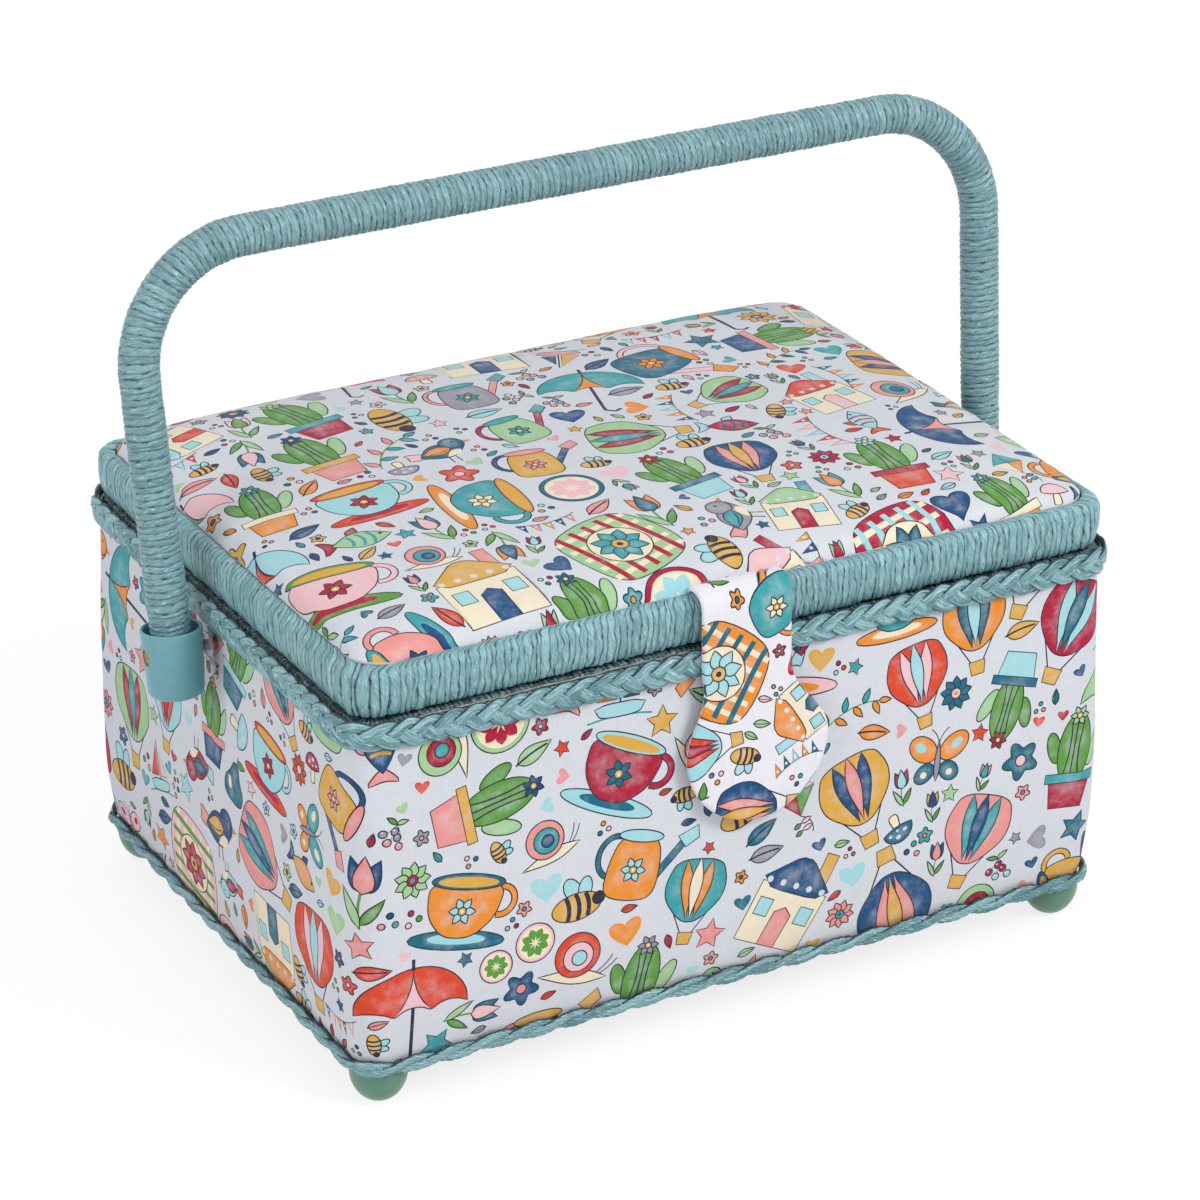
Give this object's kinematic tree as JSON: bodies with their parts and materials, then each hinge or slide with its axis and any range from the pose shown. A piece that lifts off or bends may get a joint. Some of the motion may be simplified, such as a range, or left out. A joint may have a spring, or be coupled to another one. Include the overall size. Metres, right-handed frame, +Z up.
{
  "type": "sewing basket",
  "caption": "Fabric-covered padded sewing basket with a hinged padded lid, swing handle wound with paper cord, closing tab, lift-out tray and dome feet.",
  "frame": {"origin": "middle of the basket's footprint, on the surface that the feet stand on", "axes": "+Z up, +X to the right seen from the front, -Y towards the front, where the closing tab hangs"},
  "size_m": [0.302, 0.199, 0.2406],
  "materials": {
    "printed_fabric": "woven cotton with an all-over print",
    "wadding": "white polyester wadding",
    "board": "pressed board",
    "lining_fabric": "satin lining",
    "base_sheet": "pressed felt sheet",
    "paper_cord": "twisted paper cord, slightly glossy",
    "cup_plastic": "moulded, satin",
    "foot_plastic": "moulded, slightly glossy",
    "tray_plastic": "moulded, white",
    "clear_plastic": "clear",
    "brass": "plated",
    "steel": "plain",
    "magnet": "nickel plated"
  },
  "bodies": {
    "body": {"outer_cover": "printed_fabric", "front_wadding": "wadding", "back_wadding": "wadding", "left_wadding": "wadding", "right_wadding": "wadding", "front_board": "board", "back_board": "board", "left_board": "board", "right_board": "board", "base_board": "board", "inner_lining": "lining_fabric", "left_ledge": "lining_fabric", "right_ledge": "lining_fabric", "base_sheet": "base_sheet", "top_braid": "paper_cord", "bottom_braid": "paper_cord", "foot_front_left": "foot_plastic", "foot_front_right": "foot_plastic", "foot_back_left": "foot_plastic", "foot_back_right": "foot_plastic", "left_spacer": "clear_plastic", "right_spacer": "clear_plastic", "left_hinge_body_leaf": "brass", "right_hinge_body_leaf": "brass", "left_pivot_post": "brass", "right_pivot_post": "brass", "left_pivot_screw": "brass", "right_pivot_screw": "brass", "left_hinge_pin": "steel", "right_hinge_pin": "steel", "foot_screw_front_left": "steel", "foot_screw_front_right": "steel", "foot_screw_back_left": "steel", "foot_screw_back_right": "steel", "body_magnet": "magnet"},
    "lid": {"lid_board": "board", "lid_frame": "board", "rim_whipping": "paper_cord", "lid_pad": "printed_fabric", "lid_lining": "lining_fabric", "lid_pocket": "lining_fabric", "pin_cushion": "printed_fabric", "left_hinge_lid_leaf": "brass", "right_hinge_lid_leaf": "brass"},
    "tab": {"tab_strap": "printed_fabric", "tab_magnet": "magnet"},
    "handle": {"handle_rod": "steel", "handle_winding": "paper_cord", "left_cup": "cup_plastic", "right_cup": "cup_plastic"},
    "tray": {"tray": "tray_plastic"}
  },
  "joints": [
    {"name": "lid_hinge", "type": "hinge", "parent": "body", "child": "lid", "pos_m": [0, 0.09755, 0.1275], "axis": [-1, 0, 0], "range_deg": [0, 38]},
    {"name": "tab_flex", "type": "hinge", "parent": "lid", "child": "tab", "pos_m": [0, -0.09115, 0.1438], "axis": [-1, 0, 0], "range_deg": [0, 100]},
    {"name": "handle_swing", "type": "hinge", "parent": "body", "child": "handle", "pos_m": [0, 0.00095, 0.1142], "axis": [-1, 0, 0], "range_deg": [-124, 110]},
    {"name": "tray_lift", "type": "slide", "parent": "body", "child": "tray", "axis": [0, 0, 1], "range_m": [0, 0.005]}
  ]
}
